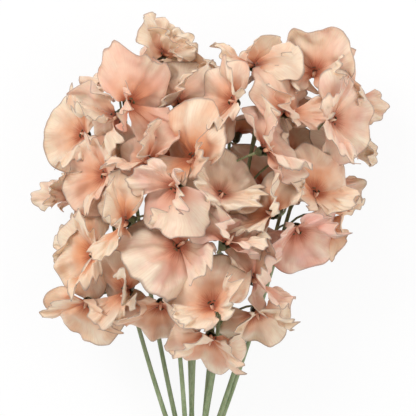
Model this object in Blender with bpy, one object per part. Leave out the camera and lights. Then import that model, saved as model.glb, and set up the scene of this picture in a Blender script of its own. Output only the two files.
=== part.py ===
"""A bunch of ten cut sweet pea stems, held by a rubber band and lying on its side.

Each stem is one grown piece: a smooth stalk with short flower stalks near its top, and a green calyx
at the end of each. A flower's petals (an upright banner, two wings and a keel) meet at their claws,
so they are one solid, which sits in its calyx. The cut ends point to -Y and the flowers to +Y.
Shapes are built in millimetres, and their objects are placed in metres.
"""

import math

import bmesh
import bpy
from mathutils import Matrix, Vector
from mathutils.bvhtree import BVHTree

MM = 0.001
SMALLEST_EDGE = 0.02
SMOOTH_ANGLE = math.radians(50)

# Driving dimensions of a flower. Its own axes: +Y is the way it looks, +Z is the banner's top.
BANNER_REACH = 30.0
BANNER_SPREAD = 112.0
WING_REACH = 22.0
WING_SPREAD = 50.0
WING_LIFT = 20.0
THROAT_RADIUS = 2.3
KEEL_FLATNESS = 0.8
PETAL_THICKNESS = 1.0
CLAW = 1.5

# How far each form of flower has opened: how far back the banner's sides bend, the angle that the
# whole banner leans back, and how far the wings stand out to the side.
FORMS = {
    "open": {"reflex": 10.0, "lean": 14.0, "flare": 0.75},
    "half": {"reflex": 3.0, "lean": 4.0, "flare": 0.55},
    "young": {"reflex": -4.0, "lean": -2.0, "flare": 0.3},
}

# Stalks
FOOT_RADIUS = 1.9
TIP_RADIUS = 1.1
FLOWER_STALK_RADIUS = 0.75
CALYX_LENGTH = 6.5
CALYX_RADIUS = 2.7
SEAT_GAP = 0.3
FOOT_Y = -72.0

# The band, and the 3-4-3 pack of stems inside it
BAND_WIDTH = 5.0
BAND_THICKNESS = 1.1
BAND_SEGMENTS = 22
STEM_PITCH = 2 * FOOT_RADIUS + 0.3
BOTTOM_ROW_Z = FOOT_RADIUS + SEAT_GAP + BAND_THICKNESS

# The stems. Each has its place in the band (column, row), its tip, how far it bows outwards, the
# spacing of its flower stalks, and its flowers from the tip down. A flower has the point where its
# petals leave the calyx, the way it looks, the bearing of its banner's top (0 is +X, 90 is +Y) and
# its form. The front of the bunch is its top as it lies.
STEMS = [
    {"slot": (-1.5, 1), "tip": (-58, 198, 62), "bow": 4, "step": 20, "flowers": (
        ((-53, 200, 84), (-0.2, 0.1, 1.0), 178, "open"),
        ((-74, 192, 50), (-0.9, 0.2, 0.3), 110, "open"),
        ((-57, 165, 82), (-0.3, 0.0, 1.0), 178, "open"),
        ((-70, 158, 44), (-0.9, -0.2, 0.2), 80, "half"),
        ((-58, 124, 74), (-0.3, -0.3, 0.9), 258, "open"),
    )},
    {"slot": (-1.0, 0), "tip": (-46, 250, 48), "bow": 4, "step": 22, "flowers": (
        ((-42, 264, 68), (-0.9, 0.25, 0.4), 120, "open"),
        ((-64, 224, 66), (-0.2, 0.1, 1.0), 170, "open"),
        ((-52, 240, 88), (-0.6, -0.5, 0.6), 215, "half"),
        ((-30, 234, 104), (0.3, -0.7, 0.6), 60, "open"),
        ((-58, 205, 28), (-0.8, 0.1, -0.5), 90, "open"),
    )},
    {"slot": (0.0, 0), "tip": (-8, 262, 44), "bow": 0, "step": 21, "flowers": (
        ((-18, 274, 70), (0.8, 0.3, 0.5), 95, "young"),
        ((8, 270, 60), (0.5, 0.5, 0.7), 65, "open"),
        ((-12, 250, 88), (-0.7, 0.2, 0.7), 100, "open"),
        ((-14, 262, 26), (-0.2, 0.7, -0.6), 90, "half"),
    )},
    {"slot": (-0.5, 1), "tip": (12, 230, 88), "bow": -3, "step": 21, "flowers": (
        ((24, 238, 106), (-0.3, 0.1, 1.0), 165, "open"),
        ((-6, 220, 112), (-0.5, -0.5, 0.75), 110, "open"),
        ((36, 214, 116), (0.6, 0.2, 0.75), 35, "open"),
        ((-4, 192, 124), (-0.5, 0.3, 0.8), 245, "half"),
        ((20, 196, 108), (0.2, 0.1, 1.0), 70, "open"),
    )},
    {"slot": (0.5, 1), "tip": (44, 254, 58), "bow": 0, "step": 22, "flowers": (
        ((36, 264, 78), (-0.5, 0.6, 0.6), 95, "open"),
        ((58, 246, 90), (0.7, 0.0, 0.7), 80, "open"),
        ((52, 262, 36), (0.3, 0.8, -0.2), 60, "half"),
        ((70, 222, 62), (0.4, 0.0, 0.9), 40, "open"),
    )},
    {"slot": (1.5, 1), "tip": (84, 256, 50), "bow": 4, "step": 21, "flowers": (
        ((82, 270, 68), (-0.2, -0.3, 0.9), 84, "half"),
        ((93, 254, 54), (0.8, -0.3, 0.5), 66, "open"),
        ((84, 238, 86), (0.2, 0.0, 1.0), 3, "open"),
        ((88, 218, 40), (0.9, 0.1, 0.1), 60, "open"),
        ((76, 206, 30), (0.7, -0.2, -0.6), 80, "open"),
    )},
    {"slot": (1.0, 2), "tip": (64, 206, 76), "bow": 3, "step": 21, "flowers": (
        ((68, 196, 96), (0.3, -0.2, 1.0), 72, "open"),
        ((46, 186, 112), (-0.5, 0.1, 0.85), 140, "open"),
        ((64, 167, 92), (0.1, -0.2, 1.0), 292, "open"),
        ((84, 178, 60), (0.9, -0.2, 0.4), 330, "open"),
    )},
    {"slot": (0.0, 2), "tip": (20, 150, 88), "bow": 3, "step": 13, "flowers": (
        ((28, 164, 118), (0.5, 0.5, 0.7), 60, "half"),
        ((6, 134, 106), (-0.1, -0.1, 1.0), 120, "open"),
        ((38, 140, 96), (0.8, -0.1, 0.6), 20, "open"),
        ((8, 106, 84), (0.0, -0.5, 0.8), 255, "half"),
        ((36, 116, 76), (0.2, -0.4, 0.9), 285, "open"),
    )},
    {"slot": (-1.0, 2), "tip": (-22, 190, 94), "bow": -3, "step": 19, "flowers": (
        ((-30, 206, 106), (-0.6, 0.4, 0.7), 130, "half"),
        ((-34, 180, 108), (-0.7, -0.3, 0.65), 165, "open"),
        ((-10, 164, 116), (0.5, 0.4, 0.75), 215, "open"),
        ((-38, 146, 92), (-0.4, -0.6, 0.7), 140, "open"),
        ((-24, 126, 88), (0.0, -0.3, 1.0), 266, "open"),
    )},
    {"slot": (1.0, 0), "tip": (24, 226, 34), "bow": 0, "step": 22, "flowers": (
        ((30, 232, 24), (0.1, 0.7, -0.6), 90, "open"),
        ((-16, 214, 24), (-0.5, 0.1, -0.6), 100, "open"),
        ((48, 196, 26), (0.5, 0.1, -0.7), 60, "open"),
        ((8, 176, 22), (-0.2, -0.2, -0.9), 80, "open"),
    )},
]
SIZES = (0.96, 1.0, 1.04, 1.0, 0.95)

# Neighbouring flowers are moved apart in small steps until each pair is clear.
NUDGE = 0.7
LONGEST_NUDGE = 1.0
MOST_ROUNDS = 160
CLEARANCE = 0.7
FLOWER_REACH = 75.0
STALK_REACH = 60.0


def clear_scene():
    for obj in list(bpy.data.objects):
        bpy.data.objects.remove(obj, do_unlink=True)


def material(name, colour, roughness):
    made = bpy.data.materials.new(name)
    made.use_nodes = True
    shader = made.node_tree.nodes["Principled BSDF"]
    shader.inputs["Base Color"].default_value = (*colour, 1.0)
    shader.inputs["Roughness"].default_value = roughness
    shader.inputs["Metallic"].default_value = 0.0
    return made


# Shapes. Each builder adds faces to a bmesh, in millimetres.


def add_petal(bm, root, point_at, across, outward, thickness):
    """A petal of even thickness that fans out from a quad of the throat.

    root holds the quad's corners: front left, front right, back left, back right.
    """
    grid = [
        [point_at(-1 + 2 * i / across, j / outward) for i in range(across + 1)]
        for j in range(outward + 1)
    ]

    def shell(j, shift):
        row = []
        for i in range(across + 1):
            beside = grid[j][min(i + 1, across)] - grid[j][max(i - 1, 0)]
            beyond = grid[min(j + 1, outward)][i] - grid[j - 1][i]
            row.append(bm.verts.new(grid[j][i] + shift * beside.cross(beyond).normalized()))
        return row

    fronts = [shell(j, -thickness / 2) for j in range(1, outward + 1)]
    backs = [shell(j, thickness / 2) for j in range(1, outward + 1)]
    front_left, front_right, back_left, back_right = root
    for left, right, rows in ((front_left, front_right, fronts), (back_left, back_right, backs)):
        middle = across // 2
        bm.faces.new((left, right, rows[0][middle]))
        for i in range(across):
            bm.faces.new((left if i < middle else right, rows[0][i], rows[0][i + 1]))
        for near, far in zip(rows, rows[1:]):
            for i in range(across):
                bm.faces.new((near[i], near[i + 1], far[i + 1], far[i]))
    for end, front, back in ((0, front_left, back_left), (across, front_right, back_right)):
        edge = [(front, back)] + [(f[end], b[end]) for f, b in zip(fronts, backs)]
        for (a, b), (c, d) in zip(edge, edge[1:]):
            bm.faces.new((a, b, d, c))
    for i in range(across):
        bm.faces.new((fronts[-1][i], fronts[-1][i + 1], backs[-1][i + 1], backs[-1][i]))


def add_tube(bm, centres, radii, sides, flat=1.0):
    """A closed tube round a line of centres. flat squeezes it along the local X of its first ring."""
    first = (centres[1] - centres[0]).normalized()
    across = first.orthogonal().normalized() if flat == 1.0 else Vector((1, 0, 0))
    rings = []
    for k, centre in enumerate(centres):
        forward = (centres[min(k + 1, len(centres) - 1)] - centres[max(k - 1, 0)]).normalized()
        across = (across - across.dot(forward) * forward).normalized()
        up = forward.cross(across)
        ring = []
        for s in range(sides):
            turn = 2 * math.pi * s / sides
            offset = across * (math.cos(turn) * flat) + up * math.sin(turn)
            ring.append(bm.verts.new(centre + radii[k] * offset))
        rings.append(ring)
    for low, high in zip(rings, rings[1:]):
        for s in range(sides):
            e = (s + 1) % sides
            bm.faces.new((low[s], low[e], high[e], high[s]))
    bm.faces.new(rings[0][::-1])
    bm.faces.new(rings[-1])
    return rings


def mesh_of(build, name):
    """The mesh that build(bm) makes."""
    bm = bmesh.new()
    build(bm)
    bmesh.ops.recalc_face_normals(bm, faces=bm.faces)
    mesh = bpy.data.meshes.new(name)
    bm.to_mesh(mesh)
    bm.free()
    return mesh


def united(builders, name):
    """One mesh from several overlapping closed shapes, by Boolean unions."""
    body = bpy.data.objects.new(name, mesh_of(builders[0], name))
    bpy.context.scene.collection.objects.link(body)
    helpers = []
    for build in builders[1:]:
        helper = bpy.data.objects.new(name + "_part", mesh_of(build, name + "_part"))
        helper.hide_render = True
        helper.display_type = "WIRE"
        bpy.context.scene.collection.objects.link(helper)
        helpers.append(helper)
        union = body.modifiers.new("join", "BOOLEAN")
        union.operation = "UNION"
        union.object = helper
    graph = bpy.context.evaluated_depsgraph_get()
    mesh = bpy.data.meshes.new_from_object(body.evaluated_get(graph))
    for obj in [body, *helpers]:
        bpy.data.objects.remove(obj, do_unlink=True)
    bm = bmesh.new()
    bm.from_mesh(mesh)
    bmesh.ops.triangulate(bm, faces=bm.faces)
    bmesh.ops.remove_doubles(bm, verts=bm.verts, dist=SMALLEST_EDGE)
    bmesh.ops.dissolve_degenerate(bm, edges=bm.edges, dist=SMALLEST_EDGE)
    bmesh.ops.triangulate(bm, faces=bm.faces)
    bm.to_mesh(mesh)
    bm.free()
    return mesh


# The flower, about the point where its petals leave the calyx


def banner_point(t, v, form):
    """The banner: a broad fan with a notch at the top and low, rounded shoulders."""
    turn = math.radians(t * BANNER_SPREAD)
    notch = 1 - 0.10 * math.exp(-((t / 0.14) ** 2))
    outline = BANNER_REACH * notch * (1 - 0.12 * t**2 - 0.36 * t**6)
    r = CLAW + v * (outline - CLAW)
    share = r / BANNER_REACH
    back = form["reflex"] * share**2 * (0.3 + 0.7 * math.sin(turn) ** 2)
    flat = Vector((r * math.sin(turn), 1.4 - back, r * math.cos(turn)))
    return Matrix.Rotation(math.radians(form["lean"]), 3, "X") @ flat


def wing_point(t, v, side, form):
    """A wing: a rounded blade that leaves the throat forwards and stands out at its upper edge."""
    turn = math.radians(WING_LIFT - side * t * WING_SPREAD)
    along = Vector((0.42 * side, 0.88, -0.12)).normalized()
    rise = Vector((form["flare"] * side, 0.0, 0.9)).normalized()
    outline = WING_REACH * (1 - 0.16 * t**2)
    r = CLAW + v * (outline - CLAW)
    belly = 3.2 * math.sin(math.pi * v * 0.8)
    return r * (math.cos(turn) * along + math.sin(turn) * rise) + Vector((belly * side, 1.8, -0.4))


def add_keel(bm):
    """The throat, and the keel beyond it: a small closed boat turned up at its tip."""
    line = [(0, 0, 0), (0, 1.5, 0), (0, 3.2, -0.3), (0, 7, -1.4), (0, 12, -1.4), (0, 15, 1.5)]
    radii = [THROAT_RADIUS, 2.3, 2.6, 3.2, 2.8, 1.0]
    return add_tube(bm, [Vector(p) for p in line], radii, 6, flat=KEEL_FLATNESS)


def flower_mesh(form, thickness, name):
    """All the petals of a flower, as one body: they grow from three faces of the throat."""

    def build(bm):
        rings = add_keel(bm)
        petals = [
            (0, 4, 5, 6, lambda t, v: banner_point(t, v, form)),
            (1, 5, 0, 4, lambda t, v: wing_point(t, v, 1, form)),
            (1, 3, 4, 4, lambda t, v: wing_point(t, v, -1, form)),
        ]
        for ring, left, right, across, point_at in petals:
            low, high = rings[ring], rings[ring + 1]
            corners = (high[left], high[right], low[left], low[right])
            root = [f for f in bm.faces if set(f.verts) == set(corners)]
            bmesh.ops.delete(bm, geom=root, context="FACES_ONLY")
            add_petal(bm, corners, point_at, across, 2, thickness)

    return mesh_of(build, name)


# The layout


def stem_slot(stem):
    """Where the stem passes through the band."""
    column, row = stem["slot"]
    return Vector((column * STEM_PITCH, 0, BOTTOM_ROW_Z + row * STEM_PITCH * math.sqrt(3) / 2))


def stem_line(stem, steps=6):
    """The stem from its cut end, through the band, out to its tip: straight, with a slight bow."""
    slot, tip = stem_slot(stem), Vector(stem["tip"])
    foot = Vector((slot.x * 1.35, FOOT_Y, FOOT_RADIUS + (slot.z - BOTTOM_ROW_Z) * 1.1))
    rise = tip - slot - Vector((0, BAND_WIDTH, 0))
    outward = Vector((1 if tip.x > 0 else -1, 0, 0))
    line = [foot, slot - Vector((0, BAND_WIDTH, 0))]
    start = slot + Vector((0, BAND_WIDTH, 0))
    for k in range(steps + 1):
        s = k / steps
        line.append(start + rise * s + outward * (stem["bow"] * 4 * s * (1 - s)))
    return line


def along(line, distance_from_tip):
    """The point of a line that is this far from its end, and the line's direction there."""
    left = distance_from_tip
    for a, b in zip(reversed(line[:-1]), reversed(line[1:])):
        length = (b - a).length
        if left <= length:
            return b.lerp(a, left / length), (b - a).normalized()
        left -= length
    return line[0], (line[1] - line[0]).normalized()


class Flower:
    """One flower's place: the node of the stem it grows from, its base, and its axes."""

    def __init__(self, stem, number, line):
        base, looks, bearing, self.form = stem["flowers"][number]
        self.size = SIZES[number]
        self.node, self.climb = along(line, number * stem["step"])
        self.base = Vector(base)
        self.looks = Vector(looks).normalized()
        turn = math.radians(bearing)
        top = Vector((math.cos(turn), math.sin(turn), 0))
        self.top = (top - top.dot(self.looks) * self.looks).normalized()

    def turn(self):
        return Matrix((self.looks.cross(self.top), self.looks, self.top)).transposed()

    def matrix(self):
        placed = Matrix.Translation(self.base) @ self.turn().to_4x4()
        return placed @ Matrix.Scale(self.size, 4)

    def stalk(self):
        """Centres and radii of the flower stalk and its calyx, up to the petals' seat."""
        seat = self.base - self.looks * SEAT_GAP
        neck = seat - self.looks * CALYX_LENGTH
        reach = (neck - self.node).length / 3
        bend_a = self.node + self.climb * reach * 0.8
        bend_b = neck - self.looks * reach
        centres = []
        for s in (0.0, 0.35, 0.7, 1.0):
            a, b = self.node.lerp(bend_a, s), bend_a.lerp(bend_b, s)
            c = bend_b.lerp(neck, s)
            centres.append(a.lerp(b, s).lerp(b.lerp(c, s), s))
        centres += [neck.lerp(seat, 0.35), seat]
        thin = FLOWER_STALK_RADIUS
        return centres, [thin, thin, thin, thin * 1.5, CALYX_RADIUS, CALYX_RADIUS * 0.9]


def stalk_radii(count):
    return [FOOT_RADIUS + (TIP_RADIUS - FOOT_RADIUS) * k / (count - 1) for k in range(count)]


class Solid:
    """A shape's faces for overlap tests, with its centre and its lowest point."""

    def __init__(self, build, matrix=None):
        bm = bmesh.new()
        build(bm)
        if matrix:
            bm.transform(matrix)
        self.tree = BVHTree.FromBMesh(bm)
        self.centre = sum((v.co for v in bm.verts), Vector()) / len(bm.verts)
        self.lowest = min(v.co.z for v in bm.verts)
        bm.free()

    def crosses(self, other, reach=math.inf):
        near = (self.centre - other.centre).length < reach
        return near and bool(self.tree.overlap(other.tree))


def fat_tube(centres, radii, sides):
    return Solid(lambda bm: add_tube(bm, centres, [r + CLEARANCE for r in radii], sides))


def away_from(line, point):
    """The direction from the nearest point of a line of centres to this point."""
    offsets = []
    for a, b in zip(line, line[1:]):
        s = (point - a).dot(b - a) / (b - a).length_squared
        offsets.append(point - a.lerp(b, max(0.0, min(1.0, s))))
    return min(offsets, key=lambda offset: offset.length).normalized()


def nudge_apart(racemes, proxies):
    """Moves flowers that cross a neighbour or a stem, a little at a time, until none does."""
    flowers = [flower for _, group in racemes for flower in group]
    stems = [(line, fat_tube(line, stalk_radii(len(line)), 6)) for line, _ in racemes]
    for _ in range(MOST_ROUNDS):
        solids = [Solid(lambda bm, f=f: bm.from_mesh(proxies[f.form]), f.matrix()) for f in flowers]
        stalks = [fat_tube(*flower.stalk(), 5) for flower in flowers]
        moves = [Vector() for _ in flowers]
        for i, solid in enumerate(solids):
            for j in range(i + 1, len(solids)):
                if solid.crosses(solids[j], FLOWER_REACH):
                    push = (solid.centre - solids[j].centre).normalized() * NUDGE
                    moves[i] += push
                    moves[j] -= push
            for line, stem in stems:
                if solid.crosses(stem):
                    moves[i] += away_from(line, solid.centre) * NUDGE
            for j, stalk in enumerate(stalks):
                if j != i and solid.crosses(stalk, STALK_REACH):
                    push = away_from(flowers[j].stalk()[0], solid.centre) * NUDGE
                    moves[i] += push
                    moves[j] -= push / 2
        if not any(move.length for move in moves):
            break
        for flower, solid, move in zip(flowers, solids, moves):
            if move.length > LONGEST_NUDGE:
                move = move.normalized() * LONGEST_NUDGE
            flower.base = flower.base + move
            flower.base.z += max(0.0, -solid.lowest)


def finished(mesh, look):
    """The mesh in metres, with its material and smooth shading."""
    mesh.transform(Matrix.Scale(MM, 4))
    mesh.materials.clear()
    mesh.materials.append(look)
    mesh.shade_smooth()
    mesh.set_sharp_from_angle(angle=SMOOTH_ANGLE)
    return mesh


def place(mesh, name, bunch):
    obj = bpy.data.objects.new(name, mesh)
    bpy.context.scene.collection.objects.link(obj)
    obj.parent = bunch
    return obj


def band_mesh():
    """The band: at each angle it lies along the outermost stem."""
    slots = [stem_slot(stem) for stem in STEMS]
    middle = sum(slots, Vector()) / len(slots)

    def build(bm):
        rings = []
        for y, extra in ((-0.5, 0), (0.5, 0), (0.5, 1), (-0.5, 1)):
            radius = FOOT_RADIUS + SEAT_GAP + extra * BAND_THICKNESS
            ring = []
            for k in range(BAND_SEGMENTS):
                turn = 2 * math.pi * (k + 0.5) / BAND_SEGMENTS
                out = Vector((math.cos(turn), 0, math.sin(turn)))
                outermost = max(slots, key=lambda slot: (slot - middle).dot(out))
                point = outermost + out * radius / math.cos(math.pi / BAND_SEGMENTS)
                ring.append(bm.verts.new(point + Vector((0, y * BAND_WIDTH, 0))))
            rings.append(ring)
        for here, there in zip(rings, rings[1:] + rings[:1]):
            for k in range(BAND_SEGMENTS):
                e = (k + 1) % BAND_SEGMENTS
                bm.faces.new((here[k], here[e], there[e], there[k]))

    return mesh_of(build, "band")


def lay_down(bunch):
    """Moves the bunch so that its box is centred on the origin and rests on z = 0."""
    bpy.context.view_layer.update()
    points = [obj.matrix_world @ v.co for obj in bunch.children for v in obj.data.vertices]
    low = Vector([min(p[axis] for p in points) for axis in range(3)])
    high = Vector([max(p[axis] for p in points) for axis in range(3)])
    bunch.location = -Vector(((low.x + high.x) / 2, (low.y + high.y) / 2, low.z))


def main():
    clear_scene()
    green = material("stem green", (0.24, 0.34, 0.15), 0.5)
    blush = material("blush petal", (0.80, 0.52, 0.40), 0.6)
    tan = material("natural rubber", (0.62, 0.45, 0.24), 0.65)
    bunch = bpy.data.objects.new("bunch", None)
    bpy.context.scene.collection.objects.link(bunch)

    racemes = []
    for stem in STEMS:
        line = stem_line(stem)
        racemes.append((line, [Flower(stem, n, line) for n in range(len(stem["flowers"]))]))
    roomy = PETAL_THICKNESS + CLEARANCE
    nudge_apart(racemes, {name: flower_mesh(form, roomy, name) for name, form in FORMS.items()})

    petals = {
        name: finished(flower_mesh(form, PETAL_THICKNESS, name), blush)
        for name, form in FORMS.items()
    }
    for k, (line, group) in enumerate(racemes, start=1):
        shapes = [lambda bm, c=line: add_tube(bm, c, stalk_radii(len(c)), 7)]
        for flower in group:
            centres, radii = flower.stalk()
            shapes.append(lambda bm, c=centres, r=radii: add_tube(bm, c, r, 5))
        place(finished(united(shapes, "stem"), green), f"stem_{k:02d}", bunch)
        for n, flower in enumerate(group, start=1):
            obj = place(petals[flower.form], f"flower_{k:02d}_{n}", bunch)
            obj.location = flower.base * MM
            obj.rotation_euler = flower.turn().to_euler()
            obj.scale = (flower.size, flower.size, flower.size)
    place(finished(band_mesh(), tan), "rubber_band", bunch)
    lay_down(bunch)


main()
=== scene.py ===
# A bunch of ten cut sweet pea stems in full bloom, held by a rubber band and lying on its side.
# The cut ends point to -Y and the flowers to +Y. Shapes are worked out in millimetres.

import math
import random
from functools import partial

import bpy
from mathutils import Matrix, Vector, noise


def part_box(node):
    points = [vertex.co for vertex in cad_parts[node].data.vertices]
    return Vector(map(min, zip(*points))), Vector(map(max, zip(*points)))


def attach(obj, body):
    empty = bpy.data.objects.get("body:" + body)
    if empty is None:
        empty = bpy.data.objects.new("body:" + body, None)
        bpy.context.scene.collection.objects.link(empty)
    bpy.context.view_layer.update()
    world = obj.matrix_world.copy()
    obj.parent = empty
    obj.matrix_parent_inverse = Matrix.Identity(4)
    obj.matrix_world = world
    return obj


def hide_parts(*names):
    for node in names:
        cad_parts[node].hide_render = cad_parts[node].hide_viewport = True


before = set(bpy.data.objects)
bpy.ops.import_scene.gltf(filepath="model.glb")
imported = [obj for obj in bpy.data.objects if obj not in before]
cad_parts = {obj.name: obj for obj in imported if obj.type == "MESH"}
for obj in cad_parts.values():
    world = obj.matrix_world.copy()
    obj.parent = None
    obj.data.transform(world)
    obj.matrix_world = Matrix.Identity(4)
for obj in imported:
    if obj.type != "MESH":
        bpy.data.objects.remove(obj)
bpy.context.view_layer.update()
bpy.ops.object.select_all(action="DESELECT")


# ---- How the bunch lies --------------------------------------------------------------------------
# Ten stalks fan out from a rubber band near their feet, and each carries four or five flowers near
# its tip. A flower's petals leave its calyx at one point: an upright banner behind, a wing on each
# side, and a small boat-shaped keel between them.

MM = 0.001
FOOT_RADIUS = 1.9
TIP_RADIUS = 1.1
FLOWER_STALK_RADIUS = 0.75
NECK_RADIUS = 1.1
BRANCH_STEPS = 8
SEAT_GAP = 0.3
FOOT_Y = -72.0
FOOT_SPREAD = 1.35
FOOT_RISE = 1.1
BAND_WIDTH = 5.0
BAND_THICKNESS = 1.1
STEM_PITCH = 2 * FOOT_RADIUS + 0.3
BOTTOM_ROW_Z = FOOT_RADIUS + SEAT_GAP + BAND_THICKNESS
CALYX_LENGTH = 6.5

# Each stalk has its place in the band (column, row), its tip, how far it bows outwards, the spacing
# of its flower stalks, and its flowers from the tip down: the way each looks, the bearing of its
# banner's top (0 is +X, 90 is +Y), and how far it has opened.
STEMS = [
    {"slot": (-1.5, 1), "tip": (-58, 198, 62), "bow": 4, "step": 20, "flowers": (
        ((-0.2, 0.1, 1.0), 178, "open"),
        ((-0.9, 0.2, 0.3), 110, "open"),
        ((-0.3, 0.0, 1.0), 178, "open"),
        ((-0.9, -0.2, 0.2), 80, "half"),
        ((-0.3, -0.3, 0.9), 258, "open"),
    )},
    {"slot": (-1.0, 0), "tip": (-46, 250, 48), "bow": 4, "step": 22, "flowers": (
        ((-0.9, 0.25, 0.4), 120, "open"),
        ((-0.2, 0.1, 1.0), 170, "open"),
        ((-0.6, -0.5, 0.6), 215, "half"),
        ((0.3, -0.7, 0.6), 60, "open"),
        ((-0.8, 0.1, -0.5), 90, "open"),
    )},
    {"slot": (0.0, 0), "tip": (-8, 262, 44), "bow": 0, "step": 21, "flowers": (
        ((0.8, 0.3, 0.5), 95, "young"),
        ((0.5, 0.5, 0.7), 65, "open"),
        ((-0.7, 0.2, 0.7), 100, "open"),
        ((-0.2, 0.7, -0.6), 90, "half"),
    )},
    {"slot": (-0.5, 1), "tip": (12, 230, 88), "bow": -3, "step": 21, "flowers": (
        ((-0.3, 0.1, 1.0), 165, "open"),
        ((-0.5, -0.5, 0.75), 110, "open"),
        ((0.6, 0.2, 0.75), 35, "open"),
        ((-0.5, 0.3, 0.8), 245, "half"),
        ((0.2, 0.1, 1.0), 70, "open"),
    )},
    {"slot": (0.5, 1), "tip": (44, 254, 58), "bow": 0, "step": 22, "flowers": (
        ((-0.5, 0.6, 0.6), 95, "open"),
        ((0.7, 0.0, 0.7), 80, "open"),
        ((0.3, 0.8, -0.2), 60, "half"),
        ((0.4, 0.0, 0.9), 40, "open"),
    )},
    {"slot": (1.5, 1), "tip": (84, 256, 50), "bow": 4, "step": 21, "flowers": (
        ((-0.2, -0.3, 0.9), 84, "half"),
        ((0.8, -0.3, 0.5), 66, "open"),
        ((0.2, 0.0, 1.0), 3, "open"),
        ((0.9, 0.1, 0.1), 60, "open"),
        ((0.7, -0.2, -0.6), 80, "open"),
    )},
    {"slot": (1.0, 2), "tip": (64, 206, 76), "bow": 3, "step": 21, "flowers": (
        ((0.3, -0.2, 1.0), 72, "open"),
        ((-0.5, 0.1, 0.85), 140, "open"),
        ((0.1, -0.2, 1.0), 292, "open"),
        ((0.9, -0.2, 0.4), 330, "open"),
    )},
    {"slot": (0.0, 2), "tip": (20, 150, 88), "bow": 3, "step": 13, "flowers": (
        ((0.5, 0.5, 0.7), 60, "half"),
        ((-0.1, -0.1, 1.0), 120, "open"),
        ((0.8, -0.1, 0.6), 20, "open"),
        ((0.0, -0.5, 0.8), 255, "half"),
        ((0.2, -0.4, 0.9), 285, "open"),
    )},
    {"slot": (-1.0, 2), "tip": (-22, 190, 94), "bow": -3, "step": 19, "flowers": (
        ((-0.6, 0.4, 0.7), 130, "half"),
        ((-0.7, -0.3, 0.65), 165, "open"),
        ((0.5, 0.4, 0.75), 215, "open"),
        ((-0.4, -0.6, 0.7), 140, "open"),
        ((0.0, -0.3, 1.0), 266, "open"),
    )},
    {"slot": (1.0, 0), "tip": (24, 226, 34), "bow": 0, "step": 22, "flowers": (
        ((0.1, 0.7, -0.6), 90, "open"),
        ((-0.5, 0.1, -0.6), 100, "open"),
        ((0.5, 0.1, -0.7), 60, "open"),
        ((-0.2, -0.2, -0.9), 80, "open"),
    )},
]

# The band's own box gives the point that the stalks' places are measured from.
band_low, band_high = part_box("rubber_band")
start = (band_low + band_high) / 2 / MM
start.z = band_low.z / MM


def stalk_line(stem, steps=14):
    """The stalk from its cut end, through the band, out to its tip."""
    column, row = stem["slot"]
    slot = Vector((column * STEM_PITCH, 0, BOTTOM_ROW_Z + row * STEM_PITCH * math.sqrt(3) / 2))
    foot_z = FOOT_RADIUS + (slot.z - BOTTOM_ROW_Z) * FOOT_RISE
    foot = Vector((slot.x * FOOT_SPREAD, FOOT_Y, foot_z))
    beyond = slot + Vector((0, BAND_WIDTH, 0))
    rise = Vector(stem["tip"]) - beyond
    outward = Vector((1 if rise.x + beyond.x > 0 else -1, 0, 0))
    line = [start + foot, start + foot.lerp(slot, 0.5), start + slot - Vector((0, BAND_WIDTH, 0))]
    for k in range(steps + 1):
        s = k / steps
        line.append(start + beyond + rise * s + outward * (stem["bow"] * 4 * s * (1 - s)))
    return line


def along(line, distance_from_tip):
    """The point of a line that is this far from its end, and the line's direction there."""
    left = distance_from_tip
    for a, b in zip(reversed(line[:-1]), reversed(line[1:])):
        length = (b - a).length
        if left <= length:
            return b.lerp(a, left / length), (b - a).normalized()
        left -= length
    return line[0], (line[1] - line[0]).normalized()


lines = [stalk_line(stem) for stem in STEMS]

# The plain flower's reaches in millimetres and its angles in degrees. A fold or a roll, in
# millimetres, is how far a side or the top of a banner swings forwards. A form says how far the
# banner's rim turns back, how much it leans, how the wings flare, and how full the petals are.
BANNER_REACH = 30.0
BANNER_SPREAD = 112.0
WING_REACH = 22.0
WING_SPREAD = 50.0
WING_LIFT = 20.0
CLAW = 1.5
LIE_HEIGHT = 0.4
LIE_SLOPE = 0.1
LIE_DEPTH = 5.0
FOLD_RANGE = (-9.0, 8.0)
ROLL_RANGE = (-7.0, 3.0)
SIZES = (0.96, 1.0, 1.04, 1.0, 0.95)
FORMS = {
    "open": {"reflex": 10.0, "lean": 14.0, "flare": 0.75, "full": 1.14},
    "half": {"reflex": 3.0, "lean": 4.0, "flare": 0.55, "full": 1.10},
    "young": {"reflex": -4.0, "lean": -2.0, "flare": 0.3, "full": 0.94},
}


def banner_point(t, v, form):
    """The plain banner: a broad fan with a notch at the top and low, rounded shoulders.

    t runs from -1 to 1 across the petal, and v from 0 at its claw to 1 at its rim.
    """
    turn = math.radians(t * BANNER_SPREAD)
    notch = 1 - 0.10 * math.exp(-((t / 0.14) ** 2))
    outline = BANNER_REACH * notch * (1 - 0.12 * t**2 - 0.36 * t**6)
    r = CLAW + v * (outline - CLAW)
    share = r / BANNER_REACH
    back = form["reflex"] * share**2 * (0.3 + 0.7 * math.sin(turn) ** 2)
    flat = Vector((r * math.sin(turn), 1.4 - back, r * math.cos(turn)))
    return Matrix.Rotation(math.radians(form["lean"]), 3, "X") @ flat


def wing_point(t, v, side, form):
    """The plain wing: a rounded blade that leaves the throat forwards and flares to its side."""
    turn = math.radians(WING_LIFT - side * t * WING_SPREAD)
    along_keel = Vector((0.42 * side, 0.88, -0.12)).normalized()
    rise = Vector((form["flare"] * side, 0.0, 0.9)).normalized()
    r = CLAW + v * (WING_REACH * (1 - 0.16 * t**2) - CLAW)
    belly = Vector((3.2 * math.sin(math.pi * v * 0.8) * side, 1.8, -0.4))
    return r * (math.cos(turn) * along_keel + math.sin(turn) * rise) + belly


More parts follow.
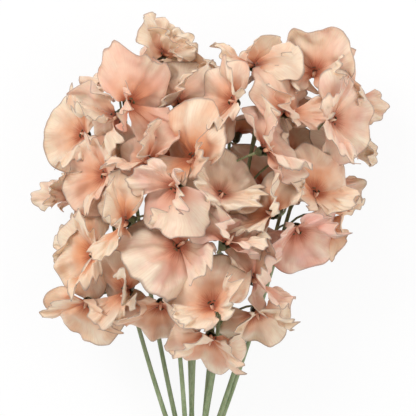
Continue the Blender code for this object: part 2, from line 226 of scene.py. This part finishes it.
def plain_corners(form):
    """Points of the plain flower that reach as far as its solid does."""
    points = [banner_point(-1 + i / 3, v, form) for i in range(7) for v in (0.5, 1.0)]
    for side in (1, -1):
        points += [wing_point(-1 + i / 2, v, side, form) for i in range(5) for v in (0.5, 1.0)]
    return points + [Vector((0, 15, 1.5)), Vector((0, 0, 0))]


class Flower:
    """One flower: its place, its axes, where its flower stalk leaves the stalk, and its own chance
    differences.
    """

    def __init__(self, stem_number, number):
        stem = STEMS[stem_number - 1]
        looks, bearing, opened = stem["flowers"][number - 1]
        self.node = f"flower_{stem_number:02d}_{number}"
        self.form = FORMS[opened]
        self.size = SIZES[number - 1]
        self.looks = Vector(looks).normalized()
        turn = math.radians(bearing)
        top = Vector((math.cos(turn), math.sin(turn), 0))
        top = (top - top.dot(self.looks) * self.looks).normalized()
        self.turn = Matrix((self.looks.cross(top), self.looks, top)).transposed()
        corners = [self.turn @ point * self.size for point in plain_corners(self.form)]
        reach = [[p[axis] for p in corners] for axis in range(3)]
        middle = Vector([(min(r) + max(r)) / 2 for r in reach])
        low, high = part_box(self.node)
        self.base = (low + high) / 2 / MM - middle
        self.stalk_root, self.climb = along(lines[stem_number - 1], (number - 1) * stem["step"])
        self.chance = random.Random(100 * stem_number + number)
        self.warmth = self.chance.random()
        self.paleness = self.chance.random()
        self.folds = self.chance.uniform(*FOLD_RANGE), self.chance.uniform(*FOLD_RANGE)
        self.roll = self.chance.uniform(*ROLL_RANGE)

    def placed(self, point):
        """A point of the flower's own frame, in millimetres, put in its place in metres."""
        there = self.base + self.turn @ point * self.size
        # A petal that meets the floor lies down along it.
        there.z = max(there.z, LIE_HEIGHT + LIE_SLOPE * max(there.z + LIE_DEPTH, 0.0))
        return there * MM


flowers = {
    k: [Flower(k, n) for n in range(1, len(stem["flowers"]) + 1)]
    for k, stem in enumerate(STEMS, start=1)
}


# ---- The stalks ----------------------------------------------------------------------------------
# Ten smooth, pale green stalks, cut square, each with short flower stalks near its tip. Each is
# grown in one piece. The rubber band grips them, and nothing else holds them.


def rod(points, radii, roundness):
    """A round stalk through these points, as a bevelled curve with closed ends."""
    data = bpy.data.curves.new("rod", "CURVE")
    data.dimensions = "3D"
    data.bevel_depth = 1.0
    data.bevel_resolution = roundness
    data.use_fill_caps = True
    spline = data.splines.new("POLY")
    spline.points.add(len(points) - 1)
    for point, place, radius in zip(spline.points, points, radii):
        point.co = (*(place * MM), 1.0)
        point.radius = radius * MM
    made = bpy.data.objects.new("rod", data)
    bpy.context.collection.objects.link(made)
    return made


def joined(name, parts):
    """These objects as one mesh object of this name, made a mesh first where they are curves."""
    bpy.ops.object.select_all(action="DESELECT")
    for part in parts:
        part.select_set(True)
    bpy.context.view_layer.objects.active = parts[0]
    bpy.ops.object.convert(target="MESH")
    if len(parts) > 1:
        bpy.ops.object.join()
    whole = bpy.context.object
    whole.name = name
    whole.data.name = name
    bpy.ops.object.shade_smooth()
    bpy.ops.object.select_all(action="DESELECT")
    return whole


class Sum:
    """A number in a material, so that maths on it is written as an expression."""

    def __init__(self, kit, socket):
        self.kit = kit
        self.socket = socket

    def apply(self, operation, *others):
        values = [self.socket] + [o.socket if isinstance(o, Sum) else o for o in others]
        made = self.kit.node("ShaderNodeMath", {"operation": operation}, dict(enumerate(values)))
        return Sum(self.kit, made.outputs[0])

    def __add__(self, other):
        return self.apply("ADD", other)

    def __mul__(self, other):
        return self.apply("MULTIPLY", other)

    def __sub__(self, other):
        return self.apply("SUBTRACT", other)

    def __rsub__(self, other):
        return (self * -1.0) + other

    __radd__ = __add__
    __rmul__ = __mul__

    def step(self, low, high):
        """0 below low and 1 above high, with a smooth slope between."""
        inputs = {"Value": self.socket, "From Min": low, "From Max": high}
        settings = {"interpolation_type": "SMOOTHSTEP"}
        return Sum(self.kit, self.kit.node("ShaderNodeMapRange", settings, inputs).outputs[0])


class Finish:
    """A material's or a world's shader, and the one method that adds nodes to it."""

    def __init__(self, owner, shader="Principled BSDF"):
        owner.use_nodes = True
        self.owner = owner
        self.tree = owner.node_tree
        self.shader = self.tree.nodes[shader]

    def node(self, kind, settings=None, inputs=None):
        """A new node with these settings, and with values or links for its inputs."""
        made = self.tree.nodes.new(kind)
        for key, value in (settings or {}).items():
            setattr(made, key, value)
        for key, value in (inputs or {}).items():
            self.feed(made.inputs[key], value)
        return made

    def feed(self, socket, value):
        """Sets a socket to a value, or links it where the value comes from another node."""
        value = value.socket if isinstance(value, Sum) else value
        if isinstance(value, bpy.types.NodeSocket):
            self.tree.links.new(value, socket)
        else:
            socket.default_value = value

    def mix(self, factor, a, b):
        """Colour a where factor is 0 and colour b where it is 1."""
        made = self.node("ShaderNodeMix", {"data_type": "RGBA"}, {0: factor, 6: a, 7: b})
        return made.outputs[2]

    def noise(self, vector, scale, detail=2.0):
        """Cloudy variation about 0.5, finer where scale is larger."""
        inputs = {"Vector": vector, "Scale": scale, "Detail": detail}
        return Sum(self, self.node("ShaderNodeTexNoise", None, inputs).outputs["Fac"])

    def stretched(self, vector, scale):
        """The same coordinates, stretched by one factor along each axis."""
        return self.node("ShaderNodeMapping", None, {"Vector": vector, "Scale": scale}).outputs[0]

    def bump(self, height, distance, strength):
        """Fine relief of this height, at most this many metres deep."""
        inputs = {"Height": height, "Distance": distance, "Strength": strength}
        made = self.node("ShaderNodeBump", None, inputs)
        self.tree.links.new(made.outputs[0], self.shader.inputs["Normal"])

    def set(self, **inputs):
        """Values or links for the shader's sockets, named with _ for a space."""
        for key, value in inputs.items():
            self.feed(self.shader.inputs[key.replace("_", " ")], value)


def green_finish(name, pale, deep):
    """Smooth plant skin: a little light and dark along its length, and a satin surface."""
    finish = Finish(bpy.data.materials.new(name))
    place = finish.node("ShaderNodeTexCoord").outputs["Object"]
    lengthwise = finish.noise(finish.stretched(place, (900.0, 30.0, 900.0)), 1.0)
    patches = finish.noise(place, 60.0)
    shade = (lengthwise * 0.6 + patches * 0.5).step(0.3, 0.8)
    finish.set(
        Base_Color=finish.mix(shade, (*pale, 1), (*deep, 1)),
        Roughness=0.42 + patches * 0.15,
        Subsurface_Weight=0.1,
        Subsurface_Scale=0.002,
    )
    finish.bump(lengthwise, 0.0001, 0.3)
    return finish.owner


stalk_green = green_finish("stalk green", (0.33, 0.39, 0.22), (0.17, 0.23, 0.10))

for k, line in enumerate(lines, start=1):
    count = len(line)
    radii = [FOOT_RADIUS + (TIP_RADIUS - FOOT_RADIUS) * i / (count - 1) for i in range(count)]
    parts = [rod(line, radii, 4)]
    for flower in flowers[k]:
        neck = flower.base - flower.looks * (SEAT_GAP + CALYX_LENGTH)
        reach = (neck - flower.stalk_root).length / 3
        bend_a = flower.stalk_root + flower.climb * reach * 0.8
        bend_b = neck - flower.looks * reach
        points = []
        for i in range(BRANCH_STEPS + 1):
            s = i / BRANCH_STEPS
            a = flower.stalk_root.lerp(bend_a, s)
            b = bend_a.lerp(bend_b, s)
            c = bend_b.lerp(neck, s)
            points.append(a.lerp(b, s).lerp(b.lerp(c, s), s))
        parts.append(rod(points, [FLOWER_STALK_RADIUS] * BRANCH_STEPS + [NECK_RADIUS], 2))
    stalk = joined(f"stalk_{k:02d}", parts)
    stalk.data.materials.append(stalk_green)
    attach(stalk, "root")
    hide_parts(f"stem_{k:02d}")


# ---- The calyces ---------------------------------------------------------------------------------
# The green cup at the end of each flower stalk, split into five pointed teeth that lie against the
# petals. It is thin and a little darker and browner than the stalk it grows from.

CALYX_GRID = (40, 9)
CALYX_RADIUS = 2.9
CALYX_THICKNESS = 0.35
CUP_SHARE = 0.55
TOOTH_LENGTH = 3.2
TOOTH_FLARE = 1.1


def sheet(across, outward, place, marks=(0, 0, 0), throat_and_shade=1.0):
    """A fine grid shaped by place(t, v), with t from -1 to 1 across it and v from 0 to 1 outward.

    Its finish reads t and v from it, with v made smaller by the last argument (which moves a piece
    into the throat's warm colour and painted shade), and the flower's warmth and paleness from its
    marks.
    """
    bpy.ops.mesh.primitive_grid_add(x_subdivisions=across, y_subdivisions=outward, size=2)
    made = bpy.context.object
    spots = [(v.co.x, (v.co.y + 1) / 2) for v in made.data.vertices]
    petal = made.data.attributes.new("petal", "FLOAT_VECTOR", "POINT")
    mood = made.data.attributes.new("mood", "FLOAT_VECTOR", "POINT")
    for i, (t, v) in enumerate(spots):
        made.data.vertices[i].co = place(t, v)
        petal.data[i].vector = (t, v * throat_and_shade, 0.0)
        mood.data[i].vector = marks
    return made


def thickened(piece, thickness):
    """Gives a joined set of sheets its real thickness, as closed shells facing out."""
    shell = piece.modifiers.new("thickness", "SOLIDIFY")
    shell.thickness = thickness * MM
    shell.offset = 0.0
    bpy.context.view_layer.objects.active = piece
    bpy.ops.object.modifier_apply(modifier=shell.name)


def calyx_point(t, v, flower):
    """The cup from its neck to its rim, and on along the teeth, round the flower's own axis."""
    angle = math.pi * t
    tooth = abs(((t * 2.5 + 0.5) % 1.0) - 0.5) * 2
    cup = min(v / CUP_SHARE, 1.0)
    beyond = max(v - CUP_SHARE, 0.0) / (1 - CUP_SHARE)
    radius = CALYX_RADIUS * math.sin(math.pi / 2 * min(cup * 1.3 + 0.25, 1.0))
    radius += beyond * TOOTH_FLARE
    length = CALYX_LENGTH * cup + beyond * TOOTH_LENGTH * (1 - tooth) ** 0.9
    radius *= 1 - 0.1 * tooth * beyond
    forward = length - CALYX_LENGTH - SEAT_GAP
    return flower.placed(Vector((math.cos(angle) * radius, forward, math.sin(angle) * radius)))


calyx_green = green_finish("calyx green", (0.11, 0.13, 0.05), (0.045, 0.04, 0.02))
for k, group in flowers.items():
    parts = [sheet(*CALYX_GRID, partial(calyx_point, flower=flower)) for flower in group]
    calyces = joined(f"calyces_{k:02d}", parts)
    thickened(calyces, CALYX_THICKNESS)
    calyces.data.materials.append(calyx_green)
    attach(calyces, "root")
    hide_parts(f"stem_{k:02d}")


# ---- The banners ---------------------------------------------------------------------------------
# The big upright petal at the back of each flower: a broad, frilled fan on a narrow claw, creased
# down its middle. It is soft, thin and matt, blush to peach with an orange throat, painted shade at
# the throat's foot and a thin darker line at its rim.

PETAL_THICKNESS = 0.35
BANNER_GRID = (72, 22)
BANNER_RUFFLE = (2.8, 6.0, 2.2)
BANNER_RAGGED = 0.24
CREASE_DEPTH = 2.2


def ruffle(t, v, seed, waves, height, frill):
    """How far a petal's surface swings at a spot: folds, crumples, and a fine frill at its rim."""
    broad = noise.noise(Vector((t * waves, v * 1.1, seed))) * 2
    second = noise.noise(Vector((t * waves * 2.3 + 9, v * 1.6, seed + 5))) * 1.6
    fine = noise.noise(Vector((t * waves * 3.6 + 3, v * 1.5, seed + 11))) * 1.8
    crumple = noise.noise(Vector((t * waves * 1.4 + 21, v * 3.4, seed + 17))) * 2
    folds = v**1.5 * broad + v**2.5 * second + 0.6 * v * crumple
    return height * folds + frill * v**4 * fine


def banner_place(t, v, flower, seed):
    """The plain banner's point, ruffled, creased and folded as this flower's banner is."""
    wave = ruffle(t, v, seed, *BANNER_RUFFLE)
    edge = flower.form["full"] + BANNER_RAGGED * noise.noise(Vector((t * 2.6, 2, seed))) * v
    crease = CREASE_DEPTH * math.exp(-((t / 0.12) ** 2)) * v * (1 - v) * 4
    unevenly = 0.6 + noise.noise(Vector((t * 2.5, 7, seed))) * 1.6
    curl = flower.roll * max(v - 0.6, 0) ** 2 / 0.16 * unevenly
    fold = flower.folds[0 if t < 0 else 1]
    sideways = abs(math.sin(math.radians(t * BANNER_SPREAD)))
    folded = fold * sideways**1.5 * v**1.3
    point = banner_point(t, v, flower.form)
    gather = 1 - 0.016 * abs(fold) * v * sideways
    swing = point.y + wave - crease + curl + folded
    return flower.placed(Vector((point.x * edge * gather, swing, point.z * edge)))


def petal_finish(name):
    """Petal tissue: cream to blush, warm in the throat, painted shade at its foot, faint veins, a
    dark rim line.
    """
    finish = Finish(bpy.data.materials.new(name))
    petal, mood = [
        finish.node("ShaderNodeAttribute", {"attribute_name": kind}).outputs["Vector"]
        for kind in ("petal", "mood")
    ]
    reach = Sum(finish, finish.node("ShaderNodeSeparateXYZ", None, {0: petal}).outputs[1])
    marks = finish.node("ShaderNodeSeparateXYZ", None, {0: mood}).outputs
    warmth, paleness = Sum(finish, marks[0]), Sum(finish, marks[1])
    place = finish.node("ShaderNodeTexCoord").outputs["Object"]
    patches = finish.noise(place, 60.0, 4.0)
    veins = finish.noise(finish.stretched(petal, (26.0, 1.4, 1.0)), 2.2, 3.0)
    fine = finish.noise(finish.stretched(petal, (90.0, 3.0, 1.0)), 2.0, 1.0)

    blush = finish.mix(warmth, (0.78, 0.43, 0.37, 1), (0.81, 0.47, 0.28, 1))
    pale = (paleness * 0.5 + patches * 1.5 + reach * 0.3 - 0.55).step(0.15, 1.0)
    body = finish.mix(pale, blush, (0.86, 0.70, 0.53, 1))
    vein = (veins * 0.7 + fine * 0.3).step(0.42, 0.62)
    body = finish.mix(vein * (1 - reach * 0.4) * 0.38, body, (0.68, 0.34, 0.23, 1))
    warm = (1 - (reach + (patches - 0.5) * 0.4 + (vein - 0.5) * 0.12).step(0.05, 0.75)) * 0.9
    body = finish.mix(warm * (0.55 + warmth * 0.45), body, (0.72, 0.25, 0.09, 1))
    # Painted shade: the foot of each petal, where the throat's slot lies in shadow, is darkened to
    # red-brown.
    deep = (1 - (reach + (vein - 0.5) * 0.10).step(0.05, 0.34)) * 0.85
    body = finish.mix(deep, body, (0.33, 0.06, 0.02, 1))
    rim = (reach + (patches - 0.5) * 0.03).step(0.955, 1.0) * 0.65
    body = finish.mix(rim, body, (0.28, 0.19, 0.16, 1))
    finish.set(
        Base_Color=body,
        Roughness=0.52 + patches * 0.15,
        Subsurface_Weight=0.12,
        Subsurface_Radius=(1.0, 0.5, 0.3),
        Subsurface_Scale=0.0025,
        Sheen_Weight=0.12,
        Sheen_Roughness=0.5,
        Specular_IOR_Level=0.3,
    )
    finish.bump(veins * 0.7 + fine * 0.3, 0.0004, 0.35)
    return finish.owner


petal_blush = petal_finish("petal blush")


def petal_group(name, group, parts):
    """One stem's petals of a kind, as a piece that stands for its flowers' solids."""
    piece = joined(name, parts)
    thickened(piece, PETAL_THICKNESS)
    piece.data.materials.append(petal_blush)
    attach(piece, "root")
    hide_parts(*[flower.node for flower in group])


for k, group in flowers.items():
    parts = []
    for flower in group:
        seed = flower.chance.uniform(0, 50)
        marks = (flower.warmth, flower.paleness, 0)
        place = partial(banner_place, flower=flower, seed=seed)
        parts.append(sheet(*BANNER_GRID, place, marks))
    petal_group(f"banners_{k:02d}", group, parts)


# ---- The wings -----------------------------------------------------------------------------------
# Two rounded, wavy petals in front of each banner. Each stands on its own claw beside the keel and
# flares out to its side, so that the pair makes an open cup.

WING_GRID = (40, 18)
WING_RUFFLE = (2.0, 4.8, 1.8)
WING_RAGGED = 0.20
WING_EXTRA = 0.04
WING_CURL = 3.5


def wing_place(t, v, side, flower, seed):
    """The plain wing's point, ruffled, curled out at its rim and closed over the keel below."""
    wave = ruffle(t, v, seed, *WING_RUFFLE)
    edge = flower.form["full"] + WING_EXTRA + WING_RAGGED * noise.noise(Vector((t * 3, 3, seed))) * v
    point = wing_point(t, v, side, flower.form) * edge
    outward = Vector((0.88 * side, -0.42, 0.1))
    curl = WING_CURL * max(v - 0.7, 0) ** 2 / 0.09
    low_edge = max(side * t, 0.0) ** 1.5
    close = Vector((-3.0 * side, 1.2, 1.2)) * low_edge * math.sin(math.pi * v) ** 0.8
    return flower.placed(point + outward * (wave + curl) + close)


for k, group in flowers.items():
    parts = []
    for flower in group:
        for side in (1, -1):
            seed = flower.chance.uniform(50, 100)
            marks = (flower.warmth, flower.paleness + flower.chance.uniform(-0.1, 0.3), 0)
            place = partial(wing_place, side=side, flower=flower, seed=seed)
            parts.append(sheet(*WING_GRID, place, marks))
    petal_group(f"wings_{k:02d}", group, parts)


# ---- The keels -----------------------------------------------------------------------------------
# Two small petals grown together into a closed boat between the wings, turned up at its tip. It is
# small, and coloured as the throat it stands in: its warm orange and its painted red-brown shade.

KEEL_GRID = (16, 12)
KEEL_WIDTH = 1.3
KEEL_LENGTH = 8.5
KEEL_MARKS = (0.6, 0.6, 0)
# How far into the throat's colours the keel reaches: its warm orange and its painted shade.
KEEL_THROAT_AND_SHADE = 0.6


def keel_place(t, v, flower):
    """Round the boat with t and along it with v, from the throat to its turned-up tip."""
    angle = math.pi * t
    width = KEEL_WIDTH * math.sin(math.pi * (0.12 + 0.88 * v)) ** 0.6 + 0.1
    middle = Vector((0, 0.6 + KEEL_LENGTH * v, -1.2 * math.sin(math.pi * v) + 1.6 * v**4))
    around = Vector((math.cos(angle) * width * 0.75, 0, math.sin(angle) * width * 1.25))
    return flower.placed(middle + around)


for k, group in flowers.items():
    parts = [
        sheet(*KEEL_GRID, partial(keel_place, flower=flower), KEEL_MARKS, KEEL_THROAT_AND_SHADE)
        for flower in group
    ]
    petal_group(f"keels_{k:02d}", group, parts)


# ---- The rubber band -----------------------------------------------------------------------------
# A plain band of natural rubber, stretched once round the ten stalks and held by its own grip.

finish = Finish(bpy.data.materials.new("natural rubber"))
grain = finish.noise(finish.node("ShaderNodeTexCoord").outputs["Object"], 900.0, 3.0)
finish.set(
    Base_Color=finish.mix(grain, (0.58, 0.40, 0.20, 1), (0.68, 0.50, 0.28, 1)),
    Roughness=0.55 + grain * 0.2,
)
finish.bump(grain, 0.0001, 0.4)
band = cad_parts["rubber_band"]
band.data.materials.clear()
band.data.materials.append(finish.owner)


# ---- The studio ----------------------------------------------------------------------------------
# The bunch lies on a plain white floor under soft light. The camera looks straight down on it.

FRAMED = 270.4
CAMERA_HEIGHT = 1800.0
FOCUS_Z = 85.0
MIDDLE = Vector((9.75, 183.2, 0)) + start
FLOOR_SIZE = 6.0
FLOOR_DROP = 0.0005
FLOOR_WHITE = 0.9
ROOM_LIGHT = 0.74
LIT_SPOT = Vector((0, 0.08, 0.05))


def plain_where_seen(finish, kind, share):
    """Puts plain white, by this share, over what is seen. What it lights isn't changed by it."""
    end = finish.shader.outputs[0].links[0].to_socket
    path = finish.node("ShaderNodeLightPath").outputs
    seen = Sum(finish, path["Is Camera Ray"])
    for ray in ("Is Glossy Ray", "Is Transmission Ray"):
        seen = seen + Sum(finish, path[ray])
    white = finish.node(kind, None, {"Color": (1, 1, 1, 1), "Strength": 1.0}).outputs[0]
    inputs = {0: seen.step(0.0, 1.0) * share, 1: finish.shader.outputs[0], 2: white}
    mixed = finish.node("ShaderNodeMixShader", None, inputs)
    finish.tree.links.new(mixed.outputs[0], end)


bpy.ops.mesh.primitive_plane_add(size=FLOOR_SIZE, location=(0, 0, -FLOOR_DROP))
floor = bpy.context.object
floor.name = "floor"
finish = Finish(bpy.data.materials.new("white floor"))
finish.set(Base_Color=(0.9, 0.9, 0.9, 1), Roughness=0.9)
plain_where_seen(finish, "ShaderNodeEmission", FLOOR_WHITE)
floor.data.materials.append(finish.owner)

room = bpy.data.worlds.new("studio")
bpy.context.scene.world = room
finish = Finish(room, "Background")
finish.set(Color=(1, 1, 1, 1), Strength=ROOM_LIGHT)
plain_where_seen(finish, "ShaderNodeBackground", 1.0)

# A strong soft light from the bunch's upper left, and a weak one from its right.
for name, place, size, power in (
    ("key", (-0.9, 1.0, 1.6), 0.9, 18.0),
    ("fill", (1.2, 0.1, 1.5), 1.2, 7.0),
):
    data = bpy.data.lights.new(name, "AREA")
    data.size = size
    data.energy = power
    lamp = bpy.data.objects.new(name, data)
    bpy.context.collection.objects.link(lamp)
    lamp.location = place
    lamp.rotation_euler = (LIT_SPOT - lamp.location).to_track_quat("-Z", "Y").to_euler()

camera_data = bpy.data.cameras.new("camera")
camera = bpy.data.objects.new("camera", camera_data)
bpy.context.collection.objects.link(camera)
camera.location = (MIDDLE.x * MM, MIDDLE.y * MM, (CAMERA_HEIGHT + FOCUS_Z) * MM)
camera_data.angle = 2 * math.atan(FRAMED / 2 / CAMERA_HEIGHT)
camera_data.clip_end = 20.0
bpy.context.scene.camera = camera
bpy.context.scene.view_settings.view_transform = "Standard"
